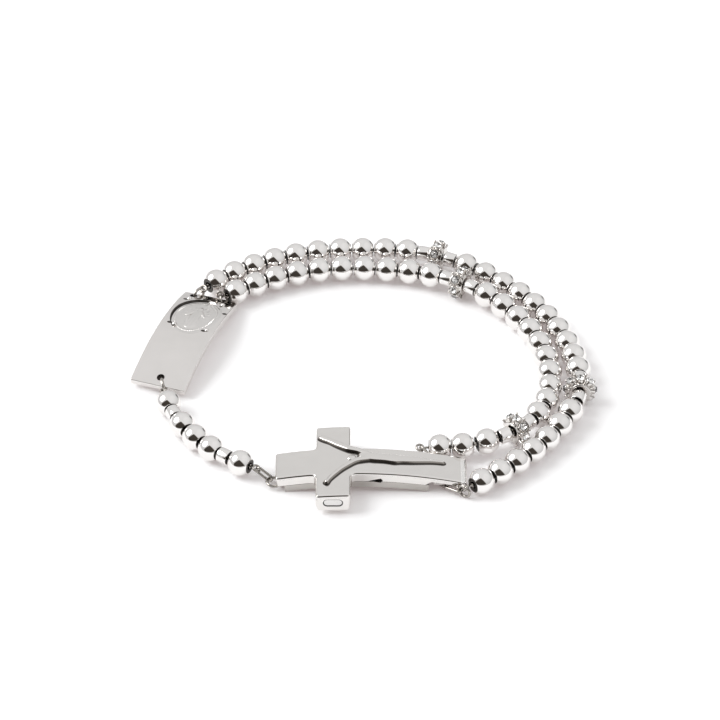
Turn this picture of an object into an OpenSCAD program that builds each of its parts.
// Rosary bracelet: two strands of round beads and a short single strand join a curved plate with
// a medal to a clasp in the form of a cross. It lies flat, with the plate and the cross face up.

/* [Beads] */
// Diameter of a round bead
bead_d = 4.0; // [3.9:0.05:4.0]
// Length of a bead between its two drilled faces
bead_len = 3.31; // [3.25:0.02:3.31]
// Diameter of the hole drilled through beads and spacers
bore_d = 1.2; // [1.1:0.05:1.2]
// Diameter of the wire that the beads are strung on
thread_d = 0.7; // [0.6:0.05:0.8]

/* [Spacers] */
// Diameter of a plain tube spacer
tube_d = 2.4; // [2.2:0.1:2.4]
// Length of a plain tube spacer
tube_len = 1.8; // [1.7:0.05:1.8]
// Diameter of a jewelled spacer over its stones
rondelle_d = 5.2; // [5.0:0.1:5.2]
// Length of a jewelled spacer along the strand
rondelle_len = 2.2; // [2.1:0.05:2.2]
// Stones round a jewelled spacer
stones = 8; // [8]

/* [Plate] */
// Length of the plate from end to end
plate_l = 23.5; // [23.2:0.1:23.5]
// Width of the plate
plate_w = 8.9; // [8.7:0.1:8.9]
// Thickness of the plate
plate_t = 1.0; // [0.9:0.05:1.0]
// Height of the plate's ends above the surface, for the rings that pass below them
plate_lift = 0.6; // [0.6:0.05:0.7]
// Length of the medal
medal_l = 10.3; // [10.0:0.1:10.4]
// Width of the medal
medal_w = 7.3; // [7.0:0.1:7.4]

/* [Cross] */
// X of the cross's head end
head_x = -12.7; // [-12.8:0.1:-12.6]
// X of the cross's foot end
foot_x = 16.0; // [15.9:0.1:16.0]
// Width of the long bar
bar_w = 6.0; // [5.9:0.05:6.0]
// X of the middle of the cross arms
arm_x = -4.0; // [-4.2:0.1:-3.8]
// Width of the cross arms
arm_w = 5.2; // [5.0:0.1:5.4]
// Length of the cross arms from end to end
arm_l = 16.2; // [16.0:0.1:16.4]
// Thickness of the lower layer
base_t = 1.2; // [1.15:0.05:1.25]
// Thickness of the two layers together
cross_t = 2.8; // [2.7:0.1:2.8]
// Width of the bright bevels on the plate and the cross
bevel = 0.25; // [0.2:0.05:0.3]

/* [Hidden] */
// The row's origin, under the middle of the whole bracelet, in the drawing's own plan
origin_x = 0.492;
origin_y = -0.732;

round_n = 40;
wire_r = 0.18;
// Half the distance between two wires that hook into each other
hook = 0.24;
// Least gap between the neighbours on a strand, where it runs straight
clear_gap = 0.16;

/* Strands. A route is [start x, start y, start heading, rows], and each row is an arc,
   [length, turn in degrees]. b is a bead, t a tube spacer and r a jewelled spacer. */
outer_route = [-23.85, 20.05, 43.5, [[81.4, -137], [3.2, -21], [23.2, -30]]];
inner_route = [-20.77, 17.44, 39.3, [[43.2, -77.8], [28.2, -61.4], [19.9, -78], [12, 0]]];
front_route = [-29.6, -7.5, -76.5, [[22, 50.2]]];
outer_order = "bbbbbbbbbbtrtbbbbbbbbbbtrtbbbbbbb";
inner_order = "bbbbbbbbbbtrtbbbbbbbbbbtrtbbb";
front_order = "btbbbtb";

bead_r = bead_d / 2;
face_r = 1.1;
rise_reach = 14;

// One arc step: state q = [x, y, heading] moved d along a row
function step(q, row, d) =
    let (turn = row[1] * d / row[0])
    abs(row[1]) < 0.01
        ? [q[0] + d * cos(q[2]), q[1] + d * sin(q[2]), q[2]]
        : let (r = row[0] / (row[1] * PI / 180))
          [q[0] + r * (sin(q[2] + turn) - sin(q[2])),
           q[1] - r * (cos(q[2] + turn) - cos(q[2])),
           q[2] + turn];
function row_of(rows, s, i = 0) =
    (i == len(rows) - 1 || s <= rows[i][0]) ? [i, s] : row_of(rows, s - rows[i][0], i + 1);
function walk(q, rows, s, i = 0) =
    (i == len(rows) - 1 || s <= rows[i][0])
        ? step(q, rows[i], s)
        : walk(step(q, rows[i], rows[i][0]), rows, s - rows[i][0], i + 1);
function bend(rows, s) = let (row = rows[row_of(rows, s)[0]]) abs(row[1]) * PI / 180 / row[0];
function piece_len(c) = c == "b" ? bead_len : c == "t" ? tube_len : rondelle_len;
function gap_after(rows, s, both) = clear_gap + face_r * bend(rows, s) * both / 2;

// Distance along the route of each piece's middle
function stations(route, order) = [
    for (i = 0, s = 0; i < len(order);
         s = s + piece_len(order[i]) + (i + 1 < len(order)
             ? gap_after(route[3], s + piece_len(order[i]), piece_len(order[i]) + piece_len(order[i + 1]))
             : 0),
         i = i + 1)
    s + piece_len(order[i]) / 2
];

outer_s = stations(outer_route, outer_order);
inner_s = stations(inner_route, inner_order);
front_s = stations(front_route, front_order);
outer_end = outer_s[len(outer_s) - 1] + bead_len / 2;
inner_end = inner_s[len(inner_s) - 1] + bead_len / 2;
front_end = front_s[len(front_s) - 1] + bead_len / 2;

// Distances along a route of the pieces of one letter
function places(order, s, letter) = [for (i = [0:len(order) - 1]) if (order[i] == letter) s[i]];

// The strand lies on the surface and rises smoothly to each jewelled spacer
function rise(s, at) = abs(s - at) > rise_reach ? 0
    : (rondelle_d - bead_d) / 2 * pow(cos(90 * (s - at) / rise_reach), 2);
function rises(s, tops, i = 0) = i == len(tops) ? 0 : rise(s, tops[i]) + rises(s, tops, i + 1);
function on_route(route, tops, s) =
    let (q = walk([route[0], route[1], route[2]], route[3], s)) [q[0], q[1], bead_r + rises(s, tops)];
function heading(route, s) = walk([route[0], route[1], route[2]], route[3], s)[2];

outer_tops = places(outer_order, outer_s, "r");
inner_tops = places(inner_order, inner_s, "r");

// Puts a piece, drawn along X about the origin, on a strand
module on_strand(route, tops, s) {
    slope = (rises(s + 0.1, tops) - rises(s - 0.1, tops)) / 0.2;
    translate(on_route(route, tops, s)) rotate([0, -atan(slope), heading(route, s)]) children();
}

module along_x() rotate([0, 90, 0]) children();

module bead() {
    along_x() difference() {
        intersection() {
            sphere(d = bead_d, $fn = round_n);
            cylinder(d = bead_d + 1, h = bead_len, center = true, $fn = round_n);
        }
        cylinder(d = bore_d, h = bead_d, center = true, $fn = round_n);
    }
}

// A short drilled tube with softened ends
module tube() {
    soft = 0.12;
    along_x() rotate_extrude($fn = round_n) polygon([
        [bore_d / 2, -tube_len / 2], [tube_d / 2 - soft, -tube_len / 2],
        [tube_d / 2, -tube_len / 2 + soft], [tube_d / 2, tube_len / 2 - soft],
        [tube_d / 2 - soft, tube_len / 2], [bore_d / 2, tube_len / 2]]);
}

// A jewelled spacer: a drilled hub, a ring of cups for the stones, and ball prongs between them
hub_d = 3.3;
cup_r = 0.74;
cup_top = 2.3;
stone_r = 0.56;
stone_seat = 1.75;
stone_angle = 360 / stones;
module rondelle() {
    prong_r = 0.24;
    prong_x = 0.78;
    difference() {
        union() {
            along_x() cylinder(d = hub_d, h = rondelle_len, center = true, $fn = round_n);
            for (i = [0:stones - 1]) rotate([i * stone_angle, 0, 0]) {
                cylinder(r = cup_r, h = cup_top, $fn = 24);
                for (side = [-1, 1]) rotate([stone_angle / 2, 0, 0]) translate([side * prong_x, 0, 0]) {
                    cylinder(r = prong_r * 0.8, h = cup_top, $fn = 20);
                    translate([0, 0, cup_top]) sphere(r = prong_r, $fn = 20);
                }
            }
        }
        along_x() cylinder(d = bore_d, h = rondelle_len + 1, center = true, $fn = round_n);
        for (i = [0:stones - 1]) rotate([i * stone_angle, 0, 0])
            translate([0, 0, stone_seat]) cylinder(r = stone_r + 0.06, h = 2, $fn = 24);
    }
}

// The cut stones of one jewelled spacer, each with a table, a crown and a pavilion
module crystals() {
    girdle = 2.28;
    culet = stone_seat + 0.06;
    for (i = [0:stones - 1]) rotate([i * stone_angle, 0, 0]) {
        translate([0, 0, girdle])
            cylinder(r1 = stone_r, r2 = stone_r * 0.6, h = rondelle_d / 2 - girdle, $fn = 8);
        translate([0, 0, culet])
            cylinder(r1 = 0.1, r2 = stone_r, h = girdle - culet, $fn = 8);
    }
}

// A straight round bar between two points
module bar(p, q, r) {
    v = q - p;
    translate(p) rotate([0, acos(v[2] / norm(v)), atan2(v[1], v[0])])
        cylinder(r = r, h = norm(v), $fn = 24);
}

// A ring whose hole faces along Z
module ring(r) rotate_extrude($fn = 48) translate([r, 0]) circle(r = wire_r, $fn = 24);

// The wire of a strand: a tube swept along the route, with an eye beyond each end
thread_sides = 8;
thread_step = 1.5;
eye_r = 0.55;
eye_reach = 1.1;
eye_reach_near = 0.95;
eye_reach_foot = 1.3;
module thread(route, tops, end) {
    rings = ceil(end / thread_step);
    points = [for (i = [0:rings], j = [0:thread_sides - 1])
        let (s = -0.05 + (end + 0.1) * i / rings, a = j * 360 / thread_sides, h = heading(route, s))
        on_route(route, tops, s) + thread_d / 2 * [-sin(h) * cos(a), cos(h) * cos(a), sin(a)]];
    sides = [for (i = [0:rings - 1], j = [0:thread_sides - 1])
        let (k = (j + 1) % thread_sides, n = thread_sides)
        each [[i * n + j, (i + 1) * n + j, i * n + k], [i * n + k, (i + 1) * n + j, (i + 1) * n + k]]];
    first = [for (j = [0:thread_sides - 1]) j];
    last = [for (j = [thread_sides - 1:-1:0]) rings * thread_sides + j];
    polyhedron(points, concat(sides, [first], [last]));
}

// The point that is reach past an end of a strand, level with its wire
function past_start(route, reach) = [
    route[0] - reach * cos(route[2]), route[1] - reach * sin(route[2]), bead_r];
function past_end(route, end, reach) =
    let (q = walk([route[0], route[1], route[2]], route[3], end))
    [q[0] + reach * cos(q[2]), q[1] + reach * sin(q[2]), bead_r];

// An eye at point c, joined to the strand's wire at from. It lies towards the next link, and flat
// across that line, or upright along it
module eye(c, from, toward, upright) {
    v = toward - c;
    turn = atan2(v[1], v[0]);
    pitch = asin(v[2] / norm(v));
    n = upright ? [sin(turn), -cos(turn), 0] : [-sin(pitch) * cos(turn), -sin(pitch) * sin(turn), cos(pitch)];
    w = from - c;
    flat = w - (w * n) * n;
    translate(c) rotate([0, -pitch, turn]) rotate([upright ? 90 : 0, 0, 0]) ring(eye_r);
    bar(from, c + flat / norm(flat) * eye_r, wire_r);
}

// Eyes at the ends of the three strands
outer_eye_a = past_start(outer_route, eye_reach);
outer_eye_b = past_end(outer_route, outer_end, eye_reach);
inner_eye_b = past_end(inner_route, inner_end, eye_reach_foot);
front_eye_a = past_start(front_route, eye_reach_near);
front_eye_b = past_end(front_route, front_end, eye_reach);

/* Plate: arched along its length, on its own X axis, turned and set in the plan */
plate_at = [-27.12, 6.61];
plate_turn = 70.5;
plate_sag = 2.0;
plate_r = (plate_l * plate_l / 4 + plate_sag * plate_sag) / (2 * plate_sag);
plate_top_r = plate_r + plate_t;
hole_r = 0.6;
// [along the plate, across it] of the three holes
near_hole = [-plate_l / 2 + 1.5, 0];
left_hole = [plate_l / 2 - 1.1, 2.65];
right_hole = [plate_l / 2 - 0.95, -1.85];
medal_x = 4.75;
medal_deep = 0.45;

// Height of the arch of radius r at distance x from its crown
function arch(r, x) = sqrt(r * r - x * x) - r;
function plate_z(x) = plate_lift + plate_sag + plate_t / 2 + arch(plate_r + plate_t / 2, x);
// A point of the plate's middle layer, in the plan
function plate_point(p) = [
    plate_at[0] + p[0] * cos(plate_turn) - p[1] * sin(plate_turn),
    plate_at[1] + p[0] * sin(plate_turn) + p[1] * cos(plate_turn),
    plate_z(p[0])];

// A bar bent about Y, from x0 to x1 at its top, between radii lo and hi about a centre below it
module bent_bar(x0, x1, w, lo, hi, cut) {
    a0 = asin(x0 / hi);
    a1 = asin(x1 / hi);
    difference() {
        rotate([90, 0, 0]) rotate([0, 0, 90 - a1]) rotate_extrude(angle = a1 - a0, $fn = 360)
            polygon([[lo, -w / 2], [hi - cut, -w / 2], [hi, -w / 2 + cut],
                     [hi, w / 2 - cut], [hi - cut, w / 2], [lo, w / 2]]);
        for (a = [a0, a1]) rotate([0, a, 0]) translate([0, 0, hi]) rotate([0, 45, 0])
            cube([cut * sqrt(2), w + 2, cut * sqrt(2)], center = true);
    }
}

function oval(l, w) = [for (a = [0:7.5:352.5]) [l / 2 * cos(a), w / 2 * sin(a)]];

module plate_frame()
    translate([plate_at[0], plate_at[1], plate_lift + plate_sag - plate_r])
    rotate([0, 0, plate_turn]) children();

// The plate, with the seat for the medal, four claws round it and three holes
module plate() {
    claw_x = 4.05;
    claw_y = 2.85;
    claw_r = 0.42;
    color("gainsboro") plate_frame() {
        difference() {
            bent_bar(-plate_l / 2, plate_l / 2, plate_w, plate_r, plate_top_r, bevel);
            translate([medal_x, 0, plate_top_r - medal_deep + arch(plate_top_r, medal_x)])
                rotate([0, asin(medal_x / plate_top_r), 0])
                linear_extrude(3) polygon(oval(medal_l + 0.3, medal_w + 0.3));
            for (h = [near_hole, left_hole, right_hole])
                translate([h[0], h[1], plate_r + arch(plate_r, h[0]) - 1])
                    cylinder(r = hole_r, h = 4, $fn = round_n);
        }
        for (i = [-1, 1], j = [-1, 1])
            rotate([0, asin((medal_x + i * claw_x) / plate_top_r), 0])
            translate([0, j * claw_y, plate_top_r - 0.1]) intersection() {
                sphere(r = claw_r, $fn = 24);
                translate([-1, -1, 0]) cube(2);
            }
    }
}

// The medal: an oval disc with a raised rim, a robed figure with rays, and an inner oval line
module medal() {
    rim_w = 0.35;
    face = 0.28;
    relief = 0.12;
    robe = [[-2.9, -1.15], [-2.9, 1.15], [-0.6, 0.85], [0.9, 1.0], [1.9, 0.55], [2.1, 0.25],
            [2.1, -0.25], [1.9, -0.55], [0.9, -1.0], [-0.6, -0.85]];
    ray = [[0, 0.16], [2.3, 0.1], [2.3, -0.1], [0, -0.16]];
    color("silver") plate_frame()
        translate([medal_x, 0, plate_top_r - medal_deep + 0.06 + arch(plate_top_r, medal_x)])
        rotate([0, asin(medal_x / plate_top_r), 0]) {
            linear_extrude(face) polygon(oval(medal_l, medal_w));
            translate([0, 0, face]) linear_extrude(relief) {
                difference() {
                    polygon(oval(medal_l, medal_w));
                    polygon(oval(medal_l - 2 * rim_w, medal_w - 2 * rim_w));
                }
                difference() {
                    polygon(oval(medal_l - 4 * rim_w, medal_w - 4 * rim_w));
                    polygon(oval(medal_l - 5 * rim_w, medal_w - 5 * rim_w));
                }
                polygon(robe);
                translate([2.65, 0]) circle(r = 0.45, $fn = 24);
                for (side = [-1, 1], a = [100, 130, 155])
                    translate([0.6, side * 0.9]) rotate([0, 0, side * a])
                        scale(a > 140 ? 0.7 : 0.6) polygon(ray);
            }
        }
}

/* Cross: two layers bent about one centre below them, the crown of the bend at bend_x */
bend_r = 65;
bend_x = -0.3;
cross_y = -24.75;
base_lift = 0.95;
base_x0 = -11.35;
base_x1 = 10.3;
layer_gap = 0.06;
lid_r = bend_r + base_t + layer_gap;
top_r = bend_r + cross_t;
wall = 0.7;
roof = 0.6;
foot_t = 0.85;
foot_cut_x = 10.3;

module cross_frame() translate([bend_x, cross_y, base_lift - bend_r]) children();
// Height of a bend of radius r at plan position x
function cross_z(r, x) = base_lift - bend_r + r + arch(r, x - bend_x);

// The ear for the ring at the head end
ear_at = [-11.85, -26.3, 0.66];
ear_r = 0.62;
ear_hole_r = 0.34;
ear_w = 0.6;

// The lower layer: a bent tongue that the buttons grip by the block on it, with an ear at its head end
module cross_base() {
    block = [2.2, 2.8, 0.8];
    color("darkgray") difference() {
        union() {
            cross_frame() bent_bar(base_x0 - bend_x, base_x1 - bend_x, bar_w - 0.2,
                                   bend_r, bend_r + base_t, 0.1);
            translate([arm_x - block[0] / 2, cross_y - block[1] / 2, cross_z(bend_r, arm_x) + 0.5])
                cube([block[0], block[1], block[2] + base_t - 0.5]);
            translate([ear_at[0], ear_at[1] - ear_w / 2, ear_at[2]]) rotate([-90, 0, 0])
                cylinder(r = ear_r, h = ear_w, $fn = round_n);
            translate([ear_at[0], ear_at[1] - ear_w / 2, 0.3]) cube([1.2, ear_w, 0.6]);
        }
        translate([ear_at[0], ear_at[1] - 2, ear_at[2]]) rotate([-90, 0, 0])
            cylinder(r = ear_hole_r, h = 4, $fn = round_n);
        nail_notch();
    }
}

// A slot with round ends, l by h, along Y
module pill(l, h, deep) {
    rotate([90, 0, 0]) {
        for (side = [-1, 1]) translate([side * (l - h) / 2, 0, 0]) cylinder(d = h, h = deep, $fn = 32);
        translate([-(l - h) / 2, -h / 2, 0]) cube([l - h, h, deep]);
    }
}

// The notch for a nail at the seam of the two layers, on the front face
module nail_notch() {
    x = 1.1;
    z = cross_z(lid_r, x);
    translate([x, cross_y - bar_w / 2 + 0.5, z]) rotate([90, 0, 0])
        linear_extrude(1) polygon([[0, 0], [2.0, 0.5], [2.3, 0.1], [2.0, -0.4]]);
}

button_l = 2.7;
button_h = 1.05;
slot_gap = 0.15;
button_z = cross_z(bend_r + cross_t / 2, arm_x);
button_inset = 0.1;

// Outline of the cross arms seen along Y: bevelled above and rounded below
function arm_outline(lo, hi, r) =
    let (x0 = arm_x - arm_w / 2, x1 = arm_x + arm_w / 2)
    concat(
        [for (a = [180:15:270]) [x0 + r + r * cos(a), lo + r + r * sin(a)]],
        [for (a = [270:15:360]) [x1 - r + r * cos(a), lo + r + r * sin(a)]],
        [[x1, cross_z(hi, x1) - bevel], [x1 - bevel, cross_z(hi, x1 - bevel)],
         [x0 + bevel, cross_z(hi, x0 + bevel)], [x0, cross_z(hi, x0) - bevel]]);

// The raised figure, reduced to a body and two lifted arms: each row is [x, y, half width, height]
figure_arm_a = [[-5.9, -19.4, 0.3, 0.2], [-5.4, -19.8, 0.42, 0.34], [-3.6, -20.9, 0.34, 0.3],
                [-1.8, -21.9, 0.36, 0.34], [0.0, -22.75, 0.42, 0.4], [1.8, -23.6, 0.5, 0.42],
                [3.2, -24.3, 0.4, 0.36]];
figure_arm_b = [[-5.5, -30.6, 0.3, 0.2], [-5.1, -29.9, 0.42, 0.34], [-4.2, -28.2, 0.34, 0.3],
                [-3.0, -26.8, 0.36, 0.34], [-1.2, -25.6, 0.42, 0.4], [0.8, -25.1, 0.5, 0.42],
                [2.4, -24.9, 0.4, 0.36]];
figure_body = [[-0.9, -24.3, 0.3, 0.3], [-0.2, -24.3, 0.75, 0.5], [1.4, -24.35, 0.9, 0.55],
               [3.0, -24.5, 0.75, 0.5], [4.6, -24.6, 0.62, 0.45], [5.6, -24.65, 0.72, 0.5],
               [7.0, -24.7, 0.55, 0.44], [7.9, -24.7, 0.5, 0.4], [9.2, -24.7, 0.56, 0.42],
               [10.8, -24.7, 0.4, 0.34], [12.3, -24.7, 0.22, 0.22]];
ridge_root = 0.3;
// A rounded ridge that follows the top of the cross through the rows, its root sunk below the top
module ridge(rows) {
    profile = [for (a = [0:36:180]) [cos(a), sin(a)]];
    n = len(profile) + 2;
    last = len(rows) - 1;
    points = [for (i = [0:last])
        let (p = rows[max(i - 1, 0)], q = rows[min(i + 1, last)], v = [q[0] - p[0], q[1] - p[1]],
             across = [-v[1], v[0]] / norm(v) * rows[i][2], at = [rows[i][0], rows[i][1]],
             z = cross_z(top_r, at[0]))
        each concat(
            [for (c = profile) [at[0] + across[0] * c[0], at[1] + across[1] * c[0], z + rows[i][3] * c[1]]],
            [for (side = [-1, 1]) [at[0] + across[0] * side, at[1] + across[1] * side, z - ridge_root]])];
    skin = [for (i = [0:last - 1], j = [0:n - 1]) let (k = (j + 1) % n)
        each [[i * n + j, (i + 1) * n + j, i * n + k], [i * n + k, (i + 1) * n + j, (i + 1) * n + k]]];
    front = [for (j = [0:n - 1]) j];
    back = [for (j = [n - 1:-1:0]) last * n + j];
    polyhedron(points, concat(skin, [front], [back]));
}

// The tongue under the foot that carries the ends of the two long strands
foot_hole_a = [11.8, -26.15, 0.78];
foot_hole_b = [11.5, -22.5, 0.78];
foot_lug_t = 0.3;
foot_lug_r = 0.6;
foot_hole_r = 0.36;

// The upper layer, with the arms, the slots for the two buttons, the figure and the foot's tongue
module cross_lid() {
    side_gap = 0.15;
    corner_r = 0.8;
    arm_lo = cross_z(bend_r, arm_x);
    lug_x0 = 11.05;
    lug_x1 = 12.4;
    lug_l = foot_hole_b[1] - foot_hole_a[1];
    color("gainsboro") difference() {
        union() {
            cross_frame() bent_bar(head_x - bend_x, foot_x - bend_x, bar_w, lid_r, top_r, bevel);
            intersection() {
                cross_frame() bent_bar(arm_x - arm_w - bend_x, arm_x + arm_w - bend_x, arm_l,
                                       bend_r - 2, top_r, bevel);
                translate([0, cross_y + arm_l, 0]) rotate([90, 0, 0])
                    linear_extrude(2 * arm_l) polygon(arm_outline(arm_lo, top_r, corner_r));
            }
            for (rows = [figure_arm_a, figure_arm_b, figure_body]) ridge(rows);
        }
        // Room between the arms for the lower layer, and the channel above it
        cross_frame() bent_bar(arm_x - arm_w - bend_x, arm_x + arm_w - bend_x, bar_w + 2 * side_gap - 0.2,
                               bend_r - 2, lid_r, 0.01);
        cross_frame() bent_bar(head_x - 1 - bend_x, foot_cut_x - bend_x, bar_w - 2 * wall,
                               lid_r - 1, top_r - roof, 0.1);
        // The foot is a thin plate
        cross_frame() bent_bar(foot_cut_x + 0.3 - bend_x, foot_x + 1 - bend_x, bar_w + 2,
                               bend_r - 2, top_r - foot_t, 0.01);
        translate([0, cross_y + bar_w, 0]) rotate([90, 0, 0]) linear_extrude(2 * bar_w) polygon([
            [foot_cut_x - 0.6, cross_z(lid_r, foot_cut_x - 0.6) - 0.3],
            [foot_cut_x - 0.6, cross_z(lid_r, foot_cut_x - 0.6)],
            [foot_cut_x + 0.4, cross_z(top_r - foot_t, foot_cut_x + 0.4)],
            [foot_cut_x + 0.4, cross_z(lid_r, foot_cut_x + 0.4) - 0.3]]);
        translate([arm_x, cross_y + arm_l / 2 + 1, button_z])
            pill(button_l + 2 * slot_gap, button_h + 2 * slot_gap, arm_l + 2);
        nail_notch();
    }
    color("gainsboro") difference() {
        union() {
            translate([lug_x0, foot_hole_a[1] - foot_lug_r, foot_hole_a[2] - foot_lug_t / 2]) {
                cube([lug_x1 - lug_x0, lug_l + foot_lug_r, foot_lug_t]);
                cube([0.3, lug_l, cross_z(top_r - foot_t, lug_x0) - foot_hole_a[2] + 0.5]);
            }
            translate([foot_hole_b[0], foot_hole_b[1], foot_hole_b[2] - foot_lug_t / 2])
                cylinder(r = foot_lug_r, h = foot_lug_t, $fn = round_n);
        }
        for (h = [foot_hole_a, foot_hole_b])
            translate([h[0], h[1], 0]) cylinder(r = foot_hole_r, h = 2, $fn = round_n);
    }
}

// A release button, inset in the end of a cross arm; side is -1 at the front and 1 at the back
module button(side) {
    l = 4.5;
    translate([arm_x, cross_y + side * (arm_l / 2 - button_inset) + (side > 0 ? 0 : l), button_z])
        pill(button_l, button_h, l);
}

/* Rings and links: each is an oval of wire between two points of its middle line */
// The point d beyond p on the line from q through p
function past(p, q, d) = p + (p - q) / norm(p - q) * d;

// An oval link with its ends at p and q and w wide, upright when roll is 90 and flat when it is 0
module link(p, q, w, roll) {
    v = q - p;
    l = round(100 * (norm(v) - w)) / 100;
    color("silver") translate((p + q) / 2) rotate([roll, -asin(v[2] / norm(v)), atan2(v[1], v[0])]) {
            for (side = [-1, 1]) {
                translate([side * l / 2, 0, 0]) rotate([0, 0, side * 90 - 180])
                    rotate_extrude(angle = 180, $fn = 48) translate([w / 2, 0]) circle(r = wire_r, $fn = 24);
                translate([-l / 2, side * w / 2, 0]) along_x() cylinder(r = wire_r, h = l, $fn = 24);
            }
        }
}

// Middle of a round upright ring of radius r through p and q, below the line between them
function ring_middle(p, q, r) =
    let (flat = [q[0] - p[0], q[1] - p[1], 0], t = norm(flat), rise = q[2] - p[2],
         half = norm(q - p) / 2, drop = sqrt(r * r - half * half))
    (p + q) / 2 + [flat[0] / t * rise, flat[1] / t * rise, -t] * drop / (2 * half);

module upright_ring(p, q, r) {
    color("silver") translate(ring_middle(p, q, r))
        rotate([0, 0, atan2(q[1] - p[1], q[0] - p[0])]) rotate([90, 0, 0]) ring(r);
}

near_hole_at = plate_point(near_hole);
left_hole_at = plate_point(left_hole);
right_hole_at = plate_point(right_hole);

// Near end of the plate: an upright ring through the hole and a short flat link to the front strand
near_ring_r = 1.15;
near_way = front_eye_a - near_hole_at;
near_dir = [near_way[0], near_way[1], 0] / norm([near_way[0], near_way[1]]);
near_ring_at = near_hole_at + near_dir * (near_ring_r + 0.2) + [0, 0, 1.45 - near_hole_at[2]];
near_meet = near_ring_at + near_dir * (near_ring_r - hook);

module plate_ring_near() {
    color("silver") translate(near_ring_at) rotate([0, 0, atan2(near_dir[1], near_dir[0])])
        rotate([90, 0, 0]) ring(near_ring_r);
}
module plate_link_near() link(past(near_meet, front_eye_a, hook), front_eye_a, 1.0, 0);
module plate_ring_left() upright_ring(left_hole_at, outer_eye_a, left_ring_r);

// The inner strand's eye stands across the top of its ring, above the end of the plate
left_ring_r = 1.2;
right_ring_r = 1.15;
right_turn = 95;
right_ring_at = [right_hole_at[0] + 0.9 * cos(right_turn), right_hole_at[1] + 0.9 * sin(right_turn), 1.36];
inner_eye_a = right_ring_at + [0, 0, right_ring_r + 0.1];

module plate_ring_right() color("silver") translate(right_ring_at)
    rotate([0, 0, right_turn]) rotate([90, 0, 0]) ring(right_ring_r);

// Head end of the cross: an upright oval link from the front strand and a flat ring in the ear
head_ring_r = 1.05;
head_tilt = 7;
head_turn = 130;
head_meet = ear_at + head_ring_r * [(cos(head_turn) - 1) * cos(head_tilt), sin(head_turn),
                                    (1 - cos(head_turn)) * sin(head_tilt)];

module head_ring() color("silver") translate(ear_at) rotate([0, head_tilt, 0])
    translate([-head_ring_r, 0, 0]) ring(head_ring_r);
module head_link() link(front_eye_b, past(head_meet, front_eye_b, 2 * hook), 1.1, 90);

// Foot end: an upright ring, a long flat link and a ring to the outer strand, and one link to the inner
foot_meet_a = [12.95, -27.1, 0.78];
foot_meet_b = [14.95, -28.45, 0.95];
foot_ring_r = 0.95;
foot_ring_start = past(foot_meet_b, outer_eye_b, hook);

module foot_ring_a() link(foot_hole_a, past(foot_meet_a, foot_hole_a, hook), 1.05, 90);
module foot_link() link(past(foot_meet_a, foot_meet_b, hook), past(foot_meet_b, foot_meet_a, hook), 0.95, 0);
module foot_ring_b() upright_ring(foot_ring_start, outer_eye_b, foot_ring_r);
module foot_link_back() link(foot_hole_b, inner_eye_b, 1.16, 90);

module beads(route, tops, order, s) {
    color("lightgray") for (at = places(order, s, "b")) on_strand(route, tops, at) bead();
}
module tube_at(route, tops, order, s, i)
    color("lightgray") on_strand(route, tops, places(order, s, "t")[i - 1]) tube();

module outer_thread() {
    color("gray") {
        thread(outer_route, outer_tops, outer_end);
        eye(outer_eye_a, past_start(outer_route, 0),
            ring_middle(left_hole_at, outer_eye_a, left_ring_r), false);
        eye(outer_eye_b, past_end(outer_route, outer_end, 0),
            ring_middle(foot_ring_start, outer_eye_b, foot_ring_r), false);
    }
}
module inner_thread() {
    color("gray") {
        thread(inner_route, inner_tops, inner_end);
        eye(inner_eye_a, past_start(inner_route, 0),
            inner_eye_a - [sin(right_turn), -cos(right_turn), 0], true);
        eye(inner_eye_b, past_end(inner_route, inner_end, 0), foot_hole_b, false);
    }
}
module front_thread() {
    color("gray") {
        thread(front_route, [], front_end);
        eye(front_eye_a, past_start(front_route, 0), near_meet, true);
        eye(front_eye_b, past_end(front_route, front_end, 0), head_meet, false);
    }
}

NODES = concat(
    ["outer_beads", "inner_beads", "outer_thread", "inner_thread", "front_thread"],
    [for (i = [1:5]) str("front_bead_", i)],
    [for (i = [1:4]) str("outer_tube_", i)],
    [for (i = [1:4]) str("inner_tube_", i)],
    [for (i = [1:2]) str("front_tube_", i)],
    [for (i = [1:2]) str("outer_rondelle_", i)],
    [for (i = [1:2]) str("inner_rondelle_", i)],
    [for (i = [1:2]) str("outer_crystals_", i)],
    [for (i = [1:2]) str("inner_crystals_", i)],
    ["plate", "medal", "plate_ring_near", "plate_link_near", "plate_ring_left", "plate_ring_right",
     "cross_lid", "cross_base", "button_front", "button_back",
     "head_ring", "head_link", "foot_ring_a", "foot_link", "foot_ring_b", "foot_link_back"]);
node = "all";

function drawn(name) = node == "all" || node == name;

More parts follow.
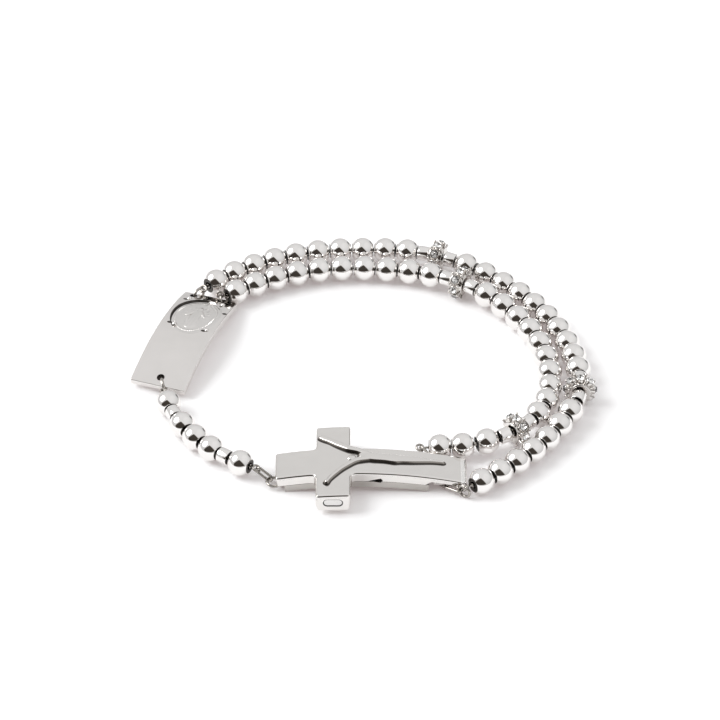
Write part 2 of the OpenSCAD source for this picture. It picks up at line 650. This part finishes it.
translate([-origin_x, -origin_y, 0]) {
    if (drawn("outer_beads")) beads(outer_route, outer_tops, outer_order, outer_s);
    if (drawn("inner_beads")) beads(inner_route, inner_tops, inner_order, inner_s);
    if (drawn("outer_thread")) outer_thread();
    if (drawn("inner_thread")) inner_thread();
    if (drawn("front_thread")) front_thread();
    for (i = [1:5]) if (drawn(str("front_bead_", i)))
        color("lightgray") on_strand(front_route, [], places(front_order, front_s, "b")[i - 1]) bead();
    for (i = [1:4]) if (drawn(str("outer_tube_", i)))
        tube_at(outer_route, outer_tops, outer_order, outer_s, i);
    for (i = [1:4]) if (drawn(str("inner_tube_", i)))
        tube_at(inner_route, inner_tops, inner_order, inner_s, i);
    for (i = [1:2]) if (drawn(str("front_tube_", i))) tube_at(front_route, [], front_order, front_s, i);
    for (i = [1:2]) if (drawn(str("outer_rondelle_", i)))
        color("silver") on_strand(outer_route, outer_tops, outer_tops[i - 1]) rondelle();
    for (i = [1:2]) if (drawn(str("inner_rondelle_", i)))
        color("silver") on_strand(inner_route, inner_tops, inner_tops[i - 1]) rondelle();
    for (i = [1:2]) if (drawn(str("outer_crystals_", i)))
        color("white") on_strand(outer_route, outer_tops, outer_tops[i - 1]) crystals();
    for (i = [1:2]) if (drawn(str("inner_crystals_", i)))
        color("white") on_strand(inner_route, inner_tops, inner_tops[i - 1]) crystals();
    if (drawn("plate")) plate();
    if (drawn("medal")) medal();
    if (drawn("plate_ring_near")) plate_ring_near();
    if (drawn("plate_link_near")) plate_link_near();
    if (drawn("plate_ring_left")) plate_ring_left();
    if (drawn("plate_ring_right")) plate_ring_right();
    if (drawn("cross_lid")) cross_lid();
    if (drawn("cross_base")) cross_base();
    if (drawn("button_front")) color("silver") button(-1);
    if (drawn("button_back")) color("silver") button(1);
    if (drawn("head_ring")) head_ring();
    if (drawn("head_link")) head_link();
    if (drawn("foot_ring_a")) foot_ring_a();
    if (drawn("foot_link")) foot_link();
    if (drawn("foot_ring_b")) foot_ring_b();
    if (drawn("foot_link_back")) foot_link_back();
}
